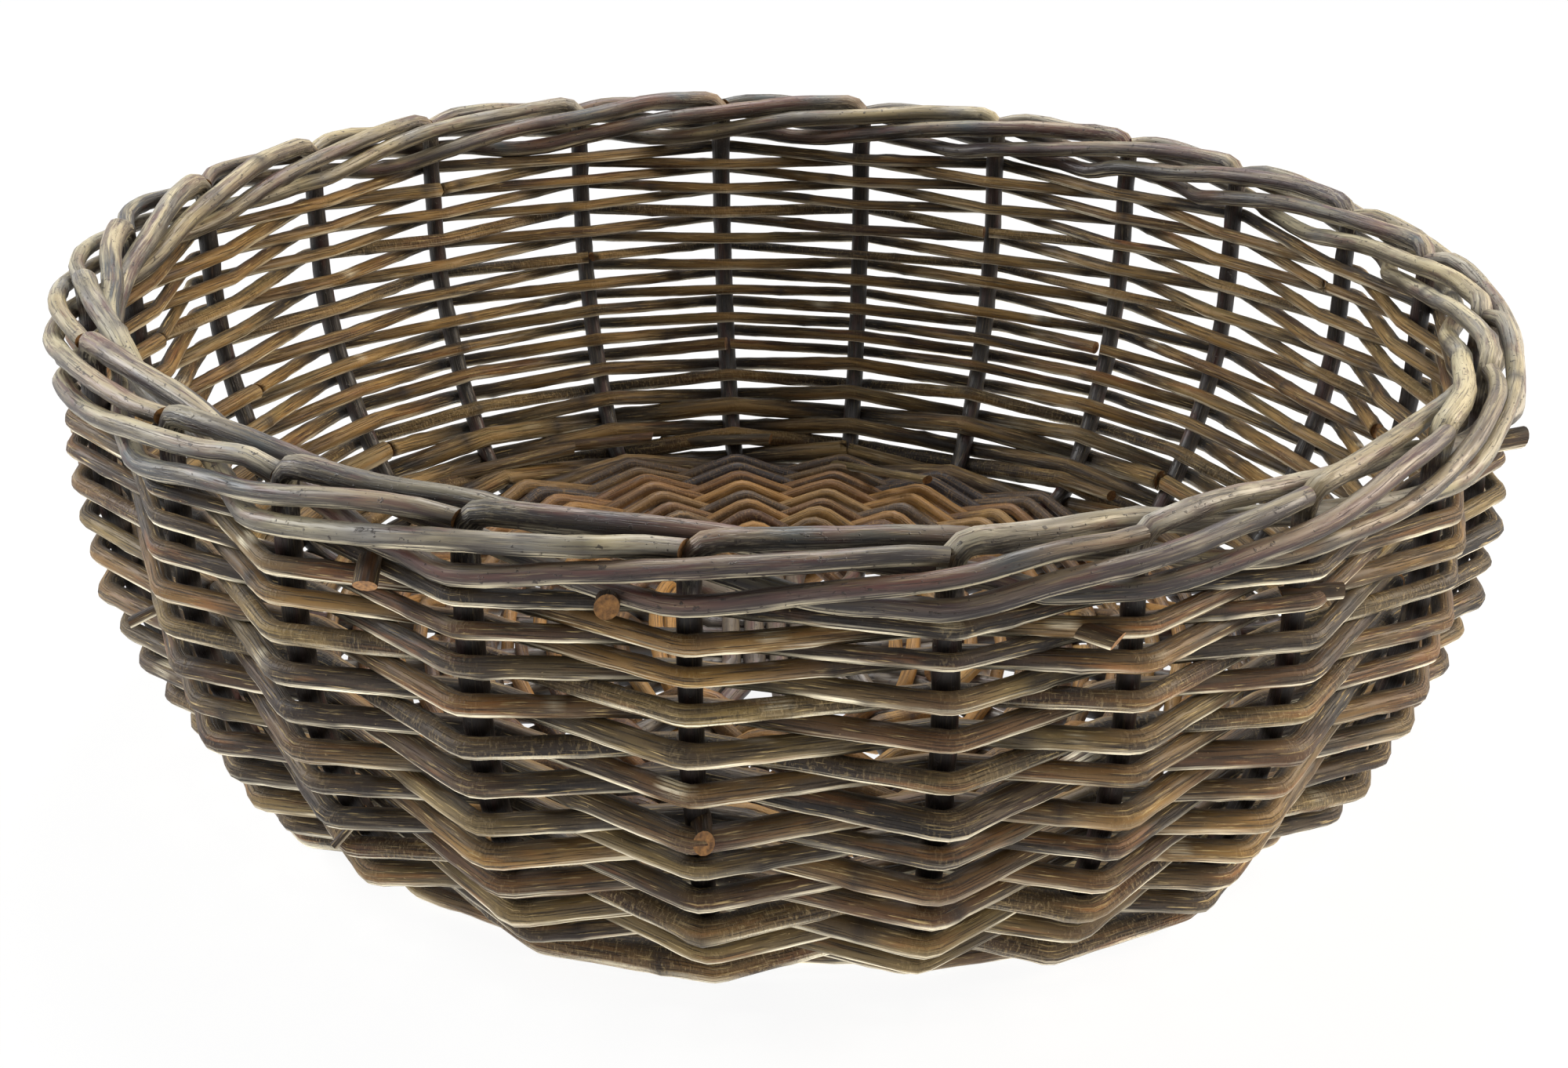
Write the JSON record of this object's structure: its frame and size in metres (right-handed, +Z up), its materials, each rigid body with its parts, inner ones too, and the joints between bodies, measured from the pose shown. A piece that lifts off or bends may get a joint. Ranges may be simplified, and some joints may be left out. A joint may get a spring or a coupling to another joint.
{
  "type": "wicker bowl",
  "caption": "Round bowl basket woven of unpeeled willow rods, with a crossed base, upright stakes and a rolled border, for holding bread, fruit or small things.",
  "frame": {"origin": "centre of the circle that the bowl stands on", "axes": "+Z up through the mouth, -Y towards the viewer of the picture"},
  "size_m": [0.4004, 0.4004, 0.133],
  "materials": {
    "stake_willow": "weathered grey-brown bark, dull",
    "side_willow": "brown unpeeled bark, satin",
    "base_willow": "warm brown unpeeled bark, satin"
  },
  "bodies": {
    "root": {"frame_rod_01": "stake_willow", "frame_rod_02": "stake_willow", "frame_rod_03": "stake_willow", "frame_rod_04": "stake_willow", "frame_rod_05": "stake_willow", "frame_rod_06": "stake_willow", "frame_rod_07": "stake_willow", "frame_rod_08": "stake_willow", "frame_rod_09": "stake_willow", "frame_rod_10": "stake_willow", "frame_rod_11": "stake_willow", "frame_rod_12": "stake_willow", "cross_tie_01": "base_willow", "base_weaver_01": "base_willow", "base_weaver_02": "base_willow", "side_weaver_01": "side_willow", "side_weaver_02": "side_willow", "side_weaver_03": "side_willow", "side_weaver_04": "side_willow", "side_weaver_05": "side_willow", "side_weaver_06": "side_willow", "side_weaver_07": "side_willow", "side_weaver_08": "side_willow", "side_weaver_09": "side_willow", "side_weaver_10": "side_willow", "side_weaver_11": "side_willow", "side_weaver_12": "side_willow", "side_weaver_13": "side_willow", "side_weaver_14": "side_willow", "side_weaver_15": "side_willow", "side_weaver_16": "side_willow", "side_weaver_17": "side_willow", "side_weaver_18": "side_willow", "side_weaver_19": "side_willow", "side_weaver_20": "side_willow", "side_weaver_21": "side_willow", "side_weaver_22": "side_willow", "side_weaver_23": "side_willow", "side_weaver_24": "side_willow"}
  },
  "joints": []
}
